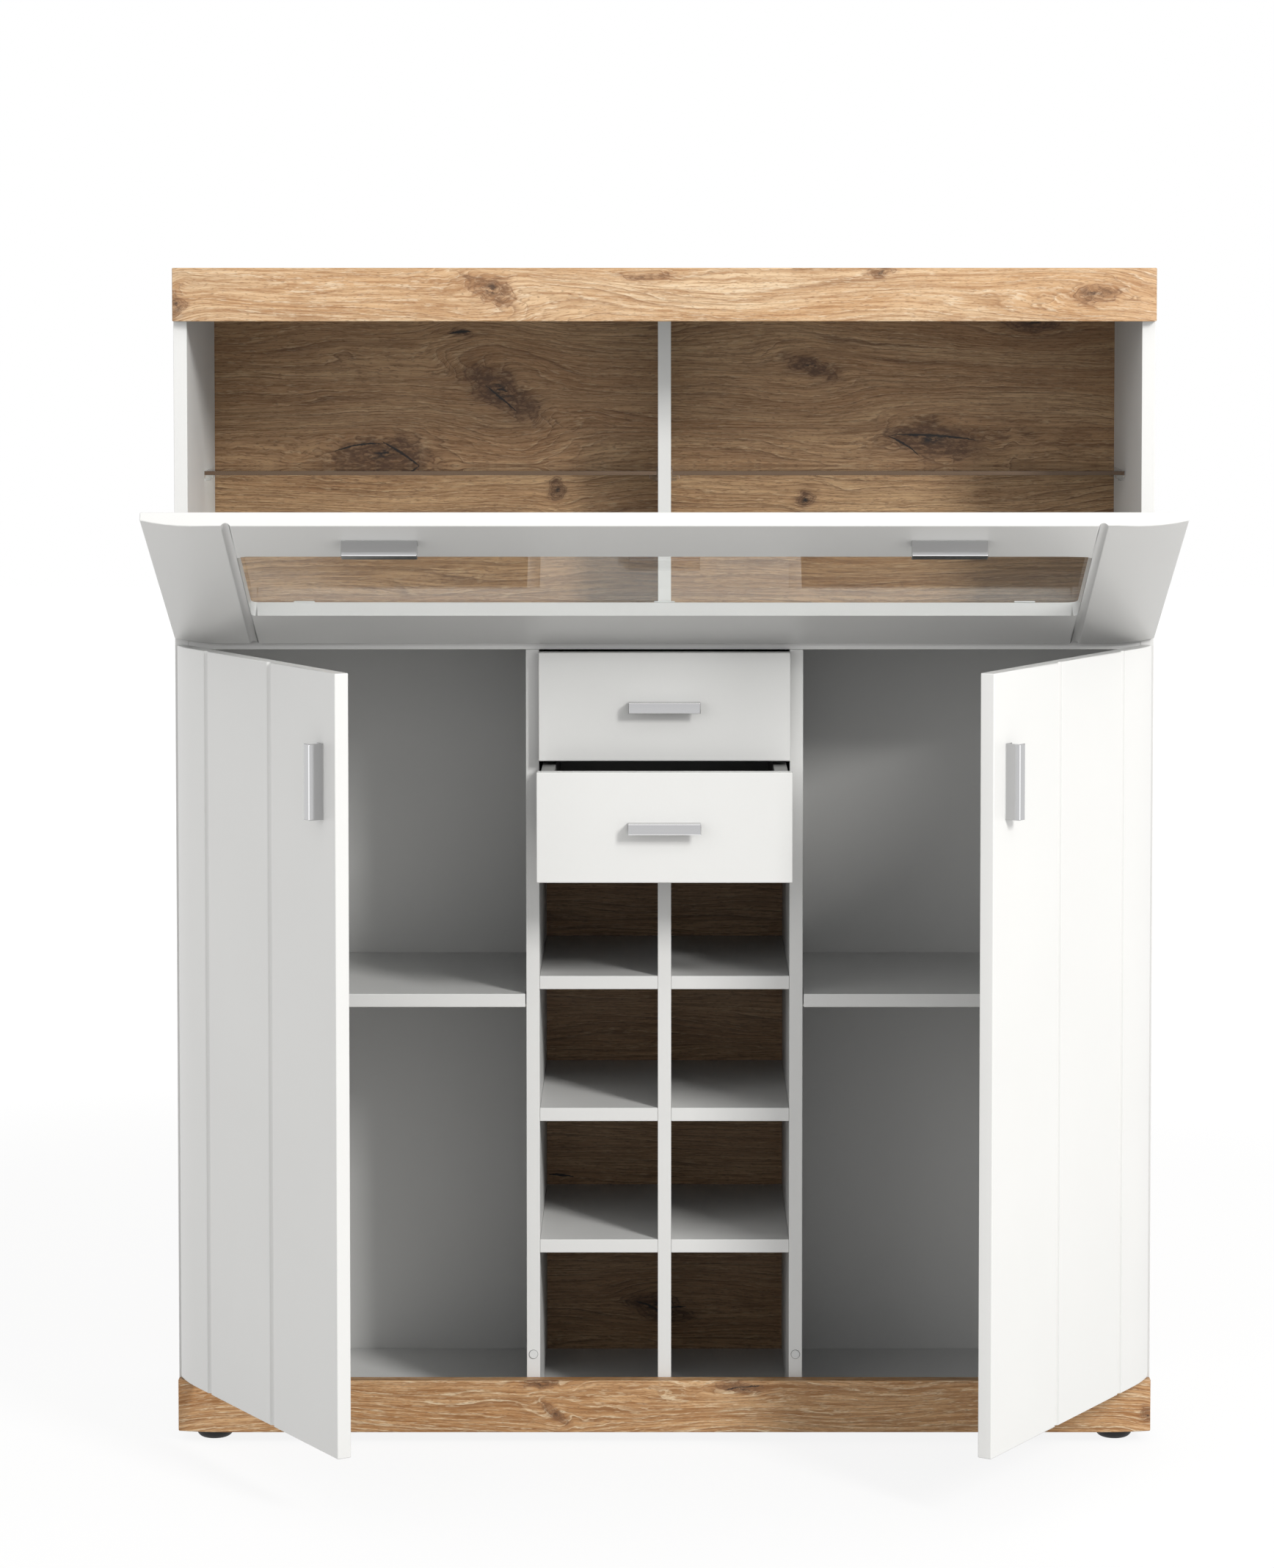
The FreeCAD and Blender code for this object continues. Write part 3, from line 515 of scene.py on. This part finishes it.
    depth = addNode(tree, "Math", waxed, mask["pore"], operation="SUBTRACT")
    relief = addNode(tree, "Bump", {"Strength": look["bump"], "Distance": look["bumpDepth"], "Height": depth})
    sheen = addNode(
        tree, "MapRange", fibre, *noiseSpan,
        look["rough"] - look["smoother"], look["rough"] + look["rougher"])
    sheen = addNode(tree, "Math", rear, look["rearRougher"], sheen, operation="MULTIPLY_ADD")
    shader = addNode(tree, "BsdfPrincipled", {
        "Base Color": colour, "Roughness": sheen, "Normal": relief, "IOR": look["ior"]})
    addNode(tree, "OutputMaterial", shader)
    return material


# the top: light honey with fine brown lines and a few dark knots
slabOak = oakDecor("Oak decor paper on chipboard, embossed, light", topOak, topFigure, chipCore)
# the plinth: deeper honey, with cream arcs where wax fills the early wood
plinthOak = oakDecor("Oak decor paper on chipboard, embossed, honey", baseOak, baseFigure, chipCore)
# the back panels: brown, planked, with large split knots
panelOak = oakDecor("Oak decor paper on fibreboard, embossed", backOak, backFigure, feltedRear)

print("Metal, glass and plastic")
metals = {
    # smooth enough to mirror the white front beside it, which is what makes a handle's sides look grey
    "handle": {"colour": "#B9B9BA", "rough": 0.14, "lineMm": [40.0, 0.5]},
    "cutEdge": {"colour": "#F2F2F3", "rough": 0.2, "lineMm": [6.0, 6.0]},
    "nickel": {"colour": "#C9C5BE", "rough": 0.28, "lineMm": [6.0, 6.0]},
    "zinc": {"colour": "#A9A9AB", "rough": 0.5, "lineMm": [1.5, 1.5]},
    # painted shade: the near-black of a cross recess's unlit bottom
    "recess": {"colour": "#2A2A2B", "rough": 0.65, "lineMm": [0.5, 0.5]},
    "roughSpread": 0.25,     # share of the roughness, either way
    "bump": 0.06,
    "bumpDepth": 0.0001,     # metres
}


def metalFinish(name, look, alongZ=False):
    # fine lines or grain in the roughness keep the metal from looking like a mirror
    material, tree = newMaterial(name)
    run, gap = look["lineMm"]
    squeeze = (1 / gap, 1 / gap, 1 / run) if alongZ else (1 / run, 1 / gap, 1 / gap)
    stretched = addNode(tree, "VectorMath", placeInMm(tree), squeeze, operation="MULTIPLY")
    lines = addNode(tree, "TexNoise", {"Vector": stretched, "Scale": 1.0, "Detail": 3.0})
    spread = look["rough"] * metals["roughSpread"]
    sheen = addNode(tree, "MapRange", lines, *noiseSpan, look["rough"] - spread, look["rough"] + spread)
    relief = addNode(
        tree, "Bump", {"Strength": metals["bump"], "Distance": metals["bumpDepth"], "Height": lines})
    shader = addNode(tree, "BsdfPrincipled", {
        "Base Color": linear(look["colour"]), "Metallic": 1.0, "Roughness": sheen, "Normal": relief})
    addNode(tree, "OutputMaterial", shader)
    return material


# drawn and anodised: even grey metal with faint lines along the bar
handleAlu = metalFinish("Anodised aluminium, brushed along X", metals["handle"])
handleAluUpright = metalFinish("Anodised aluminium, brushed along Z", metals["handle"], alongZ=True)
# cut after anodising: the bright line along a handle's edge
cutEdge = metalFinish("Anodised aluminium, diamond-cut edge", metals["cutEdge"])
# stamped and plated: bright with a faint warm tone
nickelSteel = metalFinish("Nickel-plated steel, stamped", metals["nickel"])
# cast: dull grey and finely grained
castZinc = metalFinish("Zinc alloy, die-cast", metals["zinc"])
# painted shade: the dark bottom of a cross recess, which hardly any light reaches
recessShade = metalFinish("Steel, oxide-blackened", metals["recess"])

clears = {
    # painted reflection: the brown ground edge stands for the oak seen in it
    "shelf": {"tint": "#F9FBFA", "ior": 1.5, "rough": 0.0, "edge": "#6B5541"},
    "flap": {"tint": "#F9FBFA", "ior": 1.42, "rough": 0.0},      # a little low, for a fainter mirror image
    "clip": {"tint": "#F6F7F7", "ior": 1.2, "rough": 0.04},      # low, because the clips hardly show
    "through": 0.96,         # light that passes straight through
    "flatFalloff": 5.0,      # how suddenly that ends for light that falls flat
    "grindMm": 1.25,
    "edgeSpan": (0.85, 0.95),
}


def clearFinish(name, look):
    # the face lets light straight through; a pane's ground edge is matt, and its soft brown line is a painted
    # reflection of the oak round it
    material, tree = newMaterial(name)
    tint = linear(look["tint"])
    sockets = {"Base Color": tint, "Roughness": look["rough"], "IOR": look["ior"], "Transmission Weight": 1.0}
    if "edge" in look:
        facingY = addNode(tree, "Math", facingWay(tree)["Y"], operation="ABSOLUTE")
        edge = addNode(tree, "MapRange", facingY, *clears["edgeSpan"])
        fine = addNode(
            tree, "TexNoise", {"Vector": placeInMm(tree), "Scale": 1 / clears["grindMm"], "Detail": 2.0})
        sockets["Base Color"] = addNode(
            tree, "Mix", {0: edge, 6: tint, 7: linear(look["edge"])}, data_type="RGBA")
        sockets["Roughness"] = addNode(tree, "Math", edge, fine, operation="MULTIPLY")
        sockets["Transmission Weight"] = addNode(tree, "Math", 1.0, edge, operation="SUBTRACT")
    shader = addNode(tree, "BsdfPrincipled", sockets)
    # light that falls flat on the glass is mostly thrown back, so less of it reaches what lies behind
    flat = addNode(tree, "LayerWeight", 0.5).outputs["Facing"]
    flat = addNode(tree, "Math", flat, clears["flatFalloff"], operation="POWER")
    passed = addNode(tree, "MapRange", flat, 0.0, 1.0, clears["through"], 0.0)
    passed = addNode(tree, "VectorMath", {0: tint[:3], "Scale": passed}, operation="SCALE")
    gone = addNode(tree, "BsdfTransparent", passed)
    path = addNode(tree, "LightPath").outputs
    mixed = addNode(tree, "MixShader", path["Is Shadow Ray"], shader, gone)
    addNode(tree, "OutputMaterial", mixed)
    return material


shelfGlass = clearFinish("Float glass, ground edges", clears["shelf"])
# the flap's pane sits in a rebate, so none of its edges shows
flapGlass = clearFinish("Float glass, set in the flap", clears["flap"])
# small and clear: only a faint outline shows
clearPlastic = clearFinish("Polycarbonate, clear moulded", clears["clip"])

plastics = {
    "foot": {"colour": "#0D0D0E", "rough": 0.6, "grainMm": 0.7},
    "clip": {"colour": "#E6E7E6", "rough": 0.32, "grainMm": 0.9},
    "buffer": {"colour": "#EBECEB", "rough": 0.3, "grainMm": 0.9},
    # painted shade: the grey of the thin dark rim round each buffer
    "seat": {"colour": "#8F8F8E", "rough": 0.6, "grainMm": 0.9},
    "roughSpread": 0.06,
    "bump": 0.15,
    "bumpDepth": 0.0001,     # metres
}


def mouldedPlastic(name, look):
    # fine spark-eroded grain of the mould and a soft shine
    material, tree = newMaterial(name)
    skin = addNode(tree, "TexNoise", {"Vector": placeInMm(tree), "Scale": 1 / look["grainMm"], "Detail": 2.0})
    sheen = addNode(
        tree, "MapRange", skin, *noiseSpan,
        look["rough"] - plastics["roughSpread"], look["rough"] + plastics["roughSpread"])
    relief = addNode(
        tree, "Bump", {"Strength": plastics["bump"], "Distance": plastics["bumpDepth"], "Height": skin})
    shader = addNode(
        tree, "BsdfPrincipled", {"Base Color": linear(look["colour"]), "Roughness": sheen, "Normal": relief})
    addNode(tree, "OutputMaterial", shader)
    return material


# matt black under the cabinet, white and a little shiny on clips and rails
footPlastic = mouldedPlastic("Polypropylene, black moulded", plastics["foot"])
clipPlastic = mouldedPlastic("Polypropylene, white moulded", plastics["clip"])
# pale soft drops; painted shade: each sits on a grey disc that shows as a thin dark ring round it
bufferPlastic = mouldedPlastic("Polyurethane, cast buffer", plastics["buffer"])
bufferRimShade = mouldedPlastic("Acrylic adhesive, die-cut", plastics["seat"])

print("Boards and fittings with eased edges")
easing = {
    # radii in metres
    "board": 0.0008,
    "front": 0.0013,
    "metal": 0.0004,
    "handle": 0.0009,
    "sheet": 0.0002,
    "plastic": 0.0004,
    "backPanel": 0.0003,
    "brightFrom": 0.08,      # the length from which a handle's rounded edge is bright
    "shortest": 5,           # edges under this many radii stay sharp
    "fromAngle": 40,         # degrees
    "flatWithin": 0.6,
    "sharpFrom": 38,
    "mergeWithin": 2e-6,
}
bodyOf = {node: body for body, nodes in frame["record"]["behaviour"]["bodies"].items() for node in nodes}


def easedPiece(node, material, radius):
    # the node's own shape with its long edges rounded, as edge bands, foil and tumbling leave them
    name = "eased" + "".join(word.capitalize() for word in node.split("_"))
    mesh = frame["nodes"][node].data.copy()
    mesh.name = name
    work = bmesh.new()
    work.from_mesh(mesh)
    bmesh.ops.remove_doubles(work, verts=work.verts, dist=easing["mergeWithin"])
    bmesh.ops.dissolve_limit(
        work, angle_limit=math.radians(easing["flatWithin"]), verts=work.verts, edges=work.edges)
    edges = [
        e for e in work.edges
        if len(e.link_faces) == 2 and e.is_convex and e.calc_length() > radius * easing["shortest"]
        and e.calc_face_angle() > math.radians(easing["fromAngle"])
    ]
    rounded = bmesh.ops.bevel(
        work, geom=edges, offset=radius, offset_type="OFFSET", segments=2, profile=0.5, affect="EDGES",
        clamp_overlap=False)
    mesh.materials.clear()
    mesh.materials.append(material)
    if material in (handleAlu, handleAluUpright):
        # a bright line runs along each handle's long edges
        mesh.materials.append(cutEdge)
        for face in rounded["faces"]:
            if max(edge.calc_length() for edge in face.edges) > easing["brightFrom"]:
                face.material_index = 1
    work.to_mesh(mesh)
    work.free()
    mesh.shade_smooth()
    mesh.set_sharp_from_angle(angle=math.radians(easing["sharpFrom"]))
    piece = newObject(name, mesh)
    evened = piece.modifiers.new("evenShading", "WEIGHTED_NORMAL")
    evened.keep_sharp = True
    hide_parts(node)
    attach(piece, bodyOf[node])


finishes = {
    "top_board": (slabOak, "board"),
    "top_fascia": (slabOak, "front"),
    "base_fascia": (plinthOak, "front"),
    "upper_back_panel": (panelOak, "backPanel"),
    "rack_back_panel": (panelOak, "backPanel"),
    "left_back_panel": (whiteBack, "backPanel"),
    "right_back_panel": (whiteBack, "backPanel"),
    "left_glass_shelf": (shelfGlass, "metal"),
    "right_glass_shelf": (shelfGlass, "metal"),
    "glass_shelf_clips": (clearPlastic, "plastic"),
    "flap_glass": (flapGlass, "metal"),
    "feet": (footPlastic, "plastic"),
    "flap_frame": (frontWhite, "front"),
    "cam_locks": (castZinc, "metal"),
    "shelf_pins": (nickelSteel, "metal"),
}
for node in frame["nodes"]:
    if node in finishes:
        continue
    if node == "door_bumpers":
        finishes[node] = (bufferPlastic, "plastic")
    elif node.endswith(("clips", "rails")):
        finishes[node] = (clipPlastic, "plastic")
    elif node.endswith("screws") or "hinge" in node:
        finishes[node] = (nickelSteel, "sheet")
    elif "handle" in node:
        finishes[node] = (handleAluUpright if "door" in node else handleAlu, "handle")
    elif node.endswith(("door_panel", "drawer_front")):
        finishes[node] = (frontWhite, "front")
    # the drawer boxes take the grey board of painted shade
    elif "drawer" in node:
        finishes[node] = (drawerShadeGrey, "board")
    else:
        finishes[node] = (carcassWhite, "board")
for node, (material, edge) in finishes.items():
    easedPiece(node, material, easing[edge])

print("Screw heads, cross recesses and painted buffer rims")
fixings = {
    # millimetres
    "cupScrew": 3.4,         # head radii
    "wingScrew": 3.4,
    "armScrew": 2.6,
    "headHeight": 0.9,
    "headTaper": 0.8,        # a head's top against its foot
    "crossShare": 0.62,      # length of the cross recess against the head's radius
    "crossWidth": 0.9,
    "crossHeight": 0.06,
    "camCross": 4.2,
    "camPlaces": ((530.0, 16.0), (530.0, 948.5), (114.5, 701.3)),
    "camDepths": (-75.0, 75.0),
    # painted shade: a grey disc a little wider than each buffer, for its dark rim
    "seatRadius": 5.5,
    "seatThick": 0.2,
    "seatPlace": (156.5, -156.6, 103.8),
}
hinge = {
    # the hinges' places in mm with everything closed
    "pinX": 570.7,
    "pinY": -165.2,
    "doorZ": (178.0, 854.0),
    "flapX": (-400.0, 0.0, 400.0),
    "flapPin": (-167.5, 965.5),
    "backFace": -157.0,      # the face of the cup's flange
    "cupIn": 14.6,
    "cupHoles": 21.0,
    "wingHoles": 18.0,
    "wingAlong": 46.0,
    "armAlong": (29.0, 63.0),
    "wingFace": 562.0,       # the faces that the heads sit on, beside the doors and under the flap
    "armFace": 548.8,
    "flapWingFace": 966.5,
    "flapArmFace": 987.4,
}
bothWays = (-1, 1)


def smallPiece(name, work, node, *materials):
    # a piece of its own that rides with the node that carries it, in the materials given
    mesh = bpy.data.meshes.new(name)
    work.to_mesh(mesh)
    work.free()
    for material in materials:
        mesh.materials.append(material)
    piece = newObject(name, mesh)
    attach(piece, bodyOf[node])


def headsPiece(name, node, material, heads, closedBy=None, bare=False):
    # heads are (place in mm, facing, radius); bare ones are cross recesses alone
    work = bmesh.new()
    turn = Matrix()
    if closedBy:
        joint = next(j for j in frame["joints"] if j["name"] == closedBy)
        pin = Matrix.Translation(joint["pos_m"])
        turn = pin @ Matrix.Rotation(math.radians(-joint["range_deg"][0]), 4, joint["axis"]) @ pin.inverted()
    high = fixings["headHeight"] / 1000
    top = 0.0 if bare else high
    for place, facing, radius in heads:
        upright = Vector(facing).to_track_quat("Z", "Y").to_matrix().to_4x4()
        spot = turn @ Matrix.Translation(Vector(place) / 1000) @ upright
        wide = radius / 1000
        if not bare:
            bmesh.ops.create_cone(
                work, cap_ends=True, segments=32, radius1=wide, radius2=wide * fixings["headTaper"],
                depth=high, matrix=spot @ Matrix.Translation((0, 0, high / 2)))
        # painted shade: each cross is a thin dark sheet on the head, standing for its unlit recess
        arm = wide * fixings["crossShare"]
        thin = fixings["crossWidth"] / 1000
        for size in ((arm, thin), (thin, arm)):
            bar = bmesh.ops.create_cube(
                work, size=1.0, matrix=spot @ Matrix.Translation((0, 0, top))
                @ Matrix.Diagonal((*size, fixings["crossHeight"] / 1000, 1)))
            for face in {face for vert in bar["verts"] for face in vert.link_faces}:
                face.material_index = 1
    smallPiece(name, work, node, material, recessShade)


for side, tag in ((-1, "left"), (1, "right")):
    x = side * (hinge["pinX"] - hinge["cupIn"])
    headsPiece(tag + "CupScrews", tag + "_door_hinge_cups", nickelSteel, [
        ((x, hinge["backFace"], z + sign * hinge["cupHoles"]), (0, 1, 0), fixings["cupScrew"])
        for z in hinge["doorZ"] for sign in bothWays], tag + "_door_hinge")
pinY, pinZ = hinge["flapPin"]
headsPiece("flapCupScrews", "flap_hinge_cups", nickelSteel, [
    ((x + sign * hinge["cupHoles"], hinge["backFace"], pinZ + hinge["cupIn"]), (0, 1, 0), fixings["cupScrew"])
    for x in hinge["flapX"] for sign in bothWays], "flap_hinge")
headsPiece("plateScrews", "hinge_plates", nickelSteel, [
    ((side * hinge["wingFace"], hinge["pinY"] + hinge["wingAlong"], z + sign * hinge["wingHoles"]),
     (-side, 0, 0), fixings["wingScrew"])
    for side in bothWays for z in hinge["doorZ"] for sign in bothWays] + [
    ((x + sign * hinge["wingHoles"], pinY + hinge["wingAlong"], hinge["flapWingFace"]),
     (0, 0, 1), fixings["wingScrew"])
    for x in hinge["flapX"] for sign in bothWays])
headsPiece("armScrews", "hinge_plates", nickelSteel, [
    ((side * hinge["armFace"], hinge["pinY"] + along, z), (-side, 0, 0), fixings["armScrew"])
    for side in bothWays for z in hinge["doorZ"] for along in hinge["armAlong"]] + [
    ((x, pinY + along, hinge["flapArmFace"]), (0, 0, 1), fixings["armScrew"])
    for x in hinge["flapX"] for along in hinge["armAlong"]])
# painted shade: dark crosses on the cam locks stand for their unlit recesses
headsPiece("camCrosses", "cam_locks", castZinc, [
    ((x * side, y, z), (0, 0, -1), fixings["camCross"])
    for x, z in fixings["camPlaces"] for side in bothWays for y in fixings["camDepths"]], bare=True)


def bufferSeats():
    # painted shade: a grey disc under each door buffer shows as the thin dark rim round it
    work = bmesh.new()
    x, y, z = (value / 1000 for value in fixings["seatPlace"])
    wide = fixings["seatRadius"] / 1000
    for side in bothWays:
        bmesh.ops.create_cone(
            work, cap_ends=True, segments=40, radius1=wide, radius2=wide, depth=fixings["seatThick"] / 1000,
            matrix=Matrix.Translation((side * x, y, z)) @ Matrix.Rotation(math.pi / 2, 4, "X"))
    smallPiece("bufferSeats", work, "door_bumpers", bufferRimShade)


bufferSeats()

print("Floor, light and camera")
studio = {
    "floorColour": "#D6D5D4",
    "floorHalf": 14.0,
    "whiteShare": 0.8,       # how much of the floor's look is plain white for the camera
    "whiteStrength": 1.1,
    "paleFrom": (1.6, 3.6),  # metres from the middle of the object
    "room": 0.62,            # brightness of the pale room on matt surfaces
    "roomColour": "#FFFFFF",
    "aim": (0.0, -0.1, 0.75),
    "bounces": 1,            # the room's light reaches into the compartments once, as in the picture
    "fillsAway": 5.0,        # metres; they are suns, so this only says where they stand in the view
}
softbox = {
    "right": 36.0,           # degrees to the right of the front
    "up": 28.0,
    "away": 9.0,
    "size": (1.4, 2.2),      # upright: shadows are crisper sideways than up and down
    "strength": 0.51,        # brightness on a face turned to it
    "colour": "#FFFEFC",
}
fills = {
    # degrees to the right of the front, degrees up, width in degrees, brightness on a face turned to it
    "highFill": (34.0, 46.0, 12.0, 0.04),
    "leftFill": (-40.0, 12.0, 40.0, 0.08),
    "farLeftFill": (-75.0, 12.0, 40.0, 0.02),
    "rightFill": (75.0, 12.0, 40.0, 0.034),
}


def seenDirectly(tree):
    # 1 for what the camera sees, also in metal and through glass; 0 for light on its way to the object
    path = addNode(tree, "LightPath").outputs
    seen = addNode(tree, "Math", path["Is Camera Ray"], path["Is Glossy Ray"], operation="MAXIMUM")
    return addNode(tree, "Math", seen, path["Is Transmission Ray"], operation="MAXIMUM")


def studioFloor():
    # matt and pale, so that it keeps the object's shadow
    material, tree = newMaterial("Studio floor, matt lacquer")
    matt = addNode(tree, "BsdfDiffuse", linear(studio["floorColour"]))
    white = addNode(tree, "Emission", (1, 1, 1, 1), studio["whiteStrength"])
    # further out the floor is plain white, so that no horizon shows
    away = addNode(tree, "VectorMath", addNode(tree, "TexCoord").outputs["Object"], operation="LENGTH")
    paler = addNode(
        tree, "MapRange", away.outputs["Value"], *studio["paleFrom"], studio["whiteShare"], 1.0,
        interpolation_type="SMOOTHSTEP")
    share = addNode(tree, "Math", seenDirectly(tree), paler, operation="MULTIPLY")
    mixed = addNode(tree, "MixShader", share, matt, white)
    addNode(tree, "OutputMaterial", mixed)
    half = studio["floorHalf"]
    corners = [(-half, -half, 0), (half, -half, 0), (half, half, 0), (-half, half, 0)]
    mesh = bpy.data.meshes.new("floor")
    mesh.from_pydata(corners, [], [(0, 1, 2, 3)])
    mesh.materials.append(material)
    floor = newObject("floor", mesh)


def studioWorld():
    world = bpy.data.worlds.new("studio")
    bpy.context.scene.world = world
    world.use_nodes = True
    tree = world.node_tree
    tree.nodes.clear()
    strength = addNode(tree, "MapRange", seenDirectly(tree), 0.0, 1.0, studio["room"], 1.0)
    room = addNode(tree, "Background", linear(studio["roomColour"]), strength)
    addNode(tree, "OutputWorld", room)


def placeLamp(name, lamp, right, up, away):
    light = newObject(name, lamp)
    right, up = math.radians(right), math.radians(up)
    towards = Vector((math.sin(right) * math.cos(up), -math.cos(right) * math.cos(up), math.sin(up)))
    light.location = towards * away + Vector(studio["aim"])
    light.rotation_euler = towards.to_track_quat("Z", "Y").to_euler()


def studioLamps():
    strip = bpy.data.lights.new("softbox", "AREA")
    strip.shape = "RECTANGLE"
    strip.size, strip.size_y = softbox["size"]
    # the watts that give that brightness from that far away
    strip.energy = softbox["strength"] * math.pi ** 2 * softbox["away"] ** 2
    strip.color = linear(softbox["colour"])[:3]
    placeLamp("softbox", strip, softbox["right"], softbox["up"], softbox["away"])
    for name, (right, up, wide, strength) in fills.items():
        fill = bpy.data.lights.new(name, "SUN")
        fill.angle = math.radians(wide)
        fill.energy = strength * math.pi
        placeLamp(name, fill, right, up, studio["fillsAway"])


camera = {
    "place": (0.0, -5.358, 1.3977),
    "pitchDown": 3.0153,     # degrees
    "lens": 101.12,          # mm, on a sensor this wide
    "sensor": 36.0,
    "shift": (-0.017509, -0.18),
    "seesTo": 100.0,
}


def photoCamera():
    data = bpy.data.cameras.new("photoCamera")
    data.lens = camera["lens"]
    data.sensor_width = camera["sensor"]
    data.shift_x, data.shift_y = camera["shift"]
    data.clip_end = camera["seesTo"]
    view = newObject("photoCamera", data)
    view.location = camera["place"]
    view.rotation_euler = (math.radians(90 - camera["pitchDown"]), 0.0, 0.0)
    bpy.context.scene.camera = view


studioFloor()
studioWorld()
studioLamps()
bpy.context.scene.cycles.diffuse_bounces = studio["bounces"]
photoCamera()
bpy.context.scene.view_settings.view_transform = "Standard"
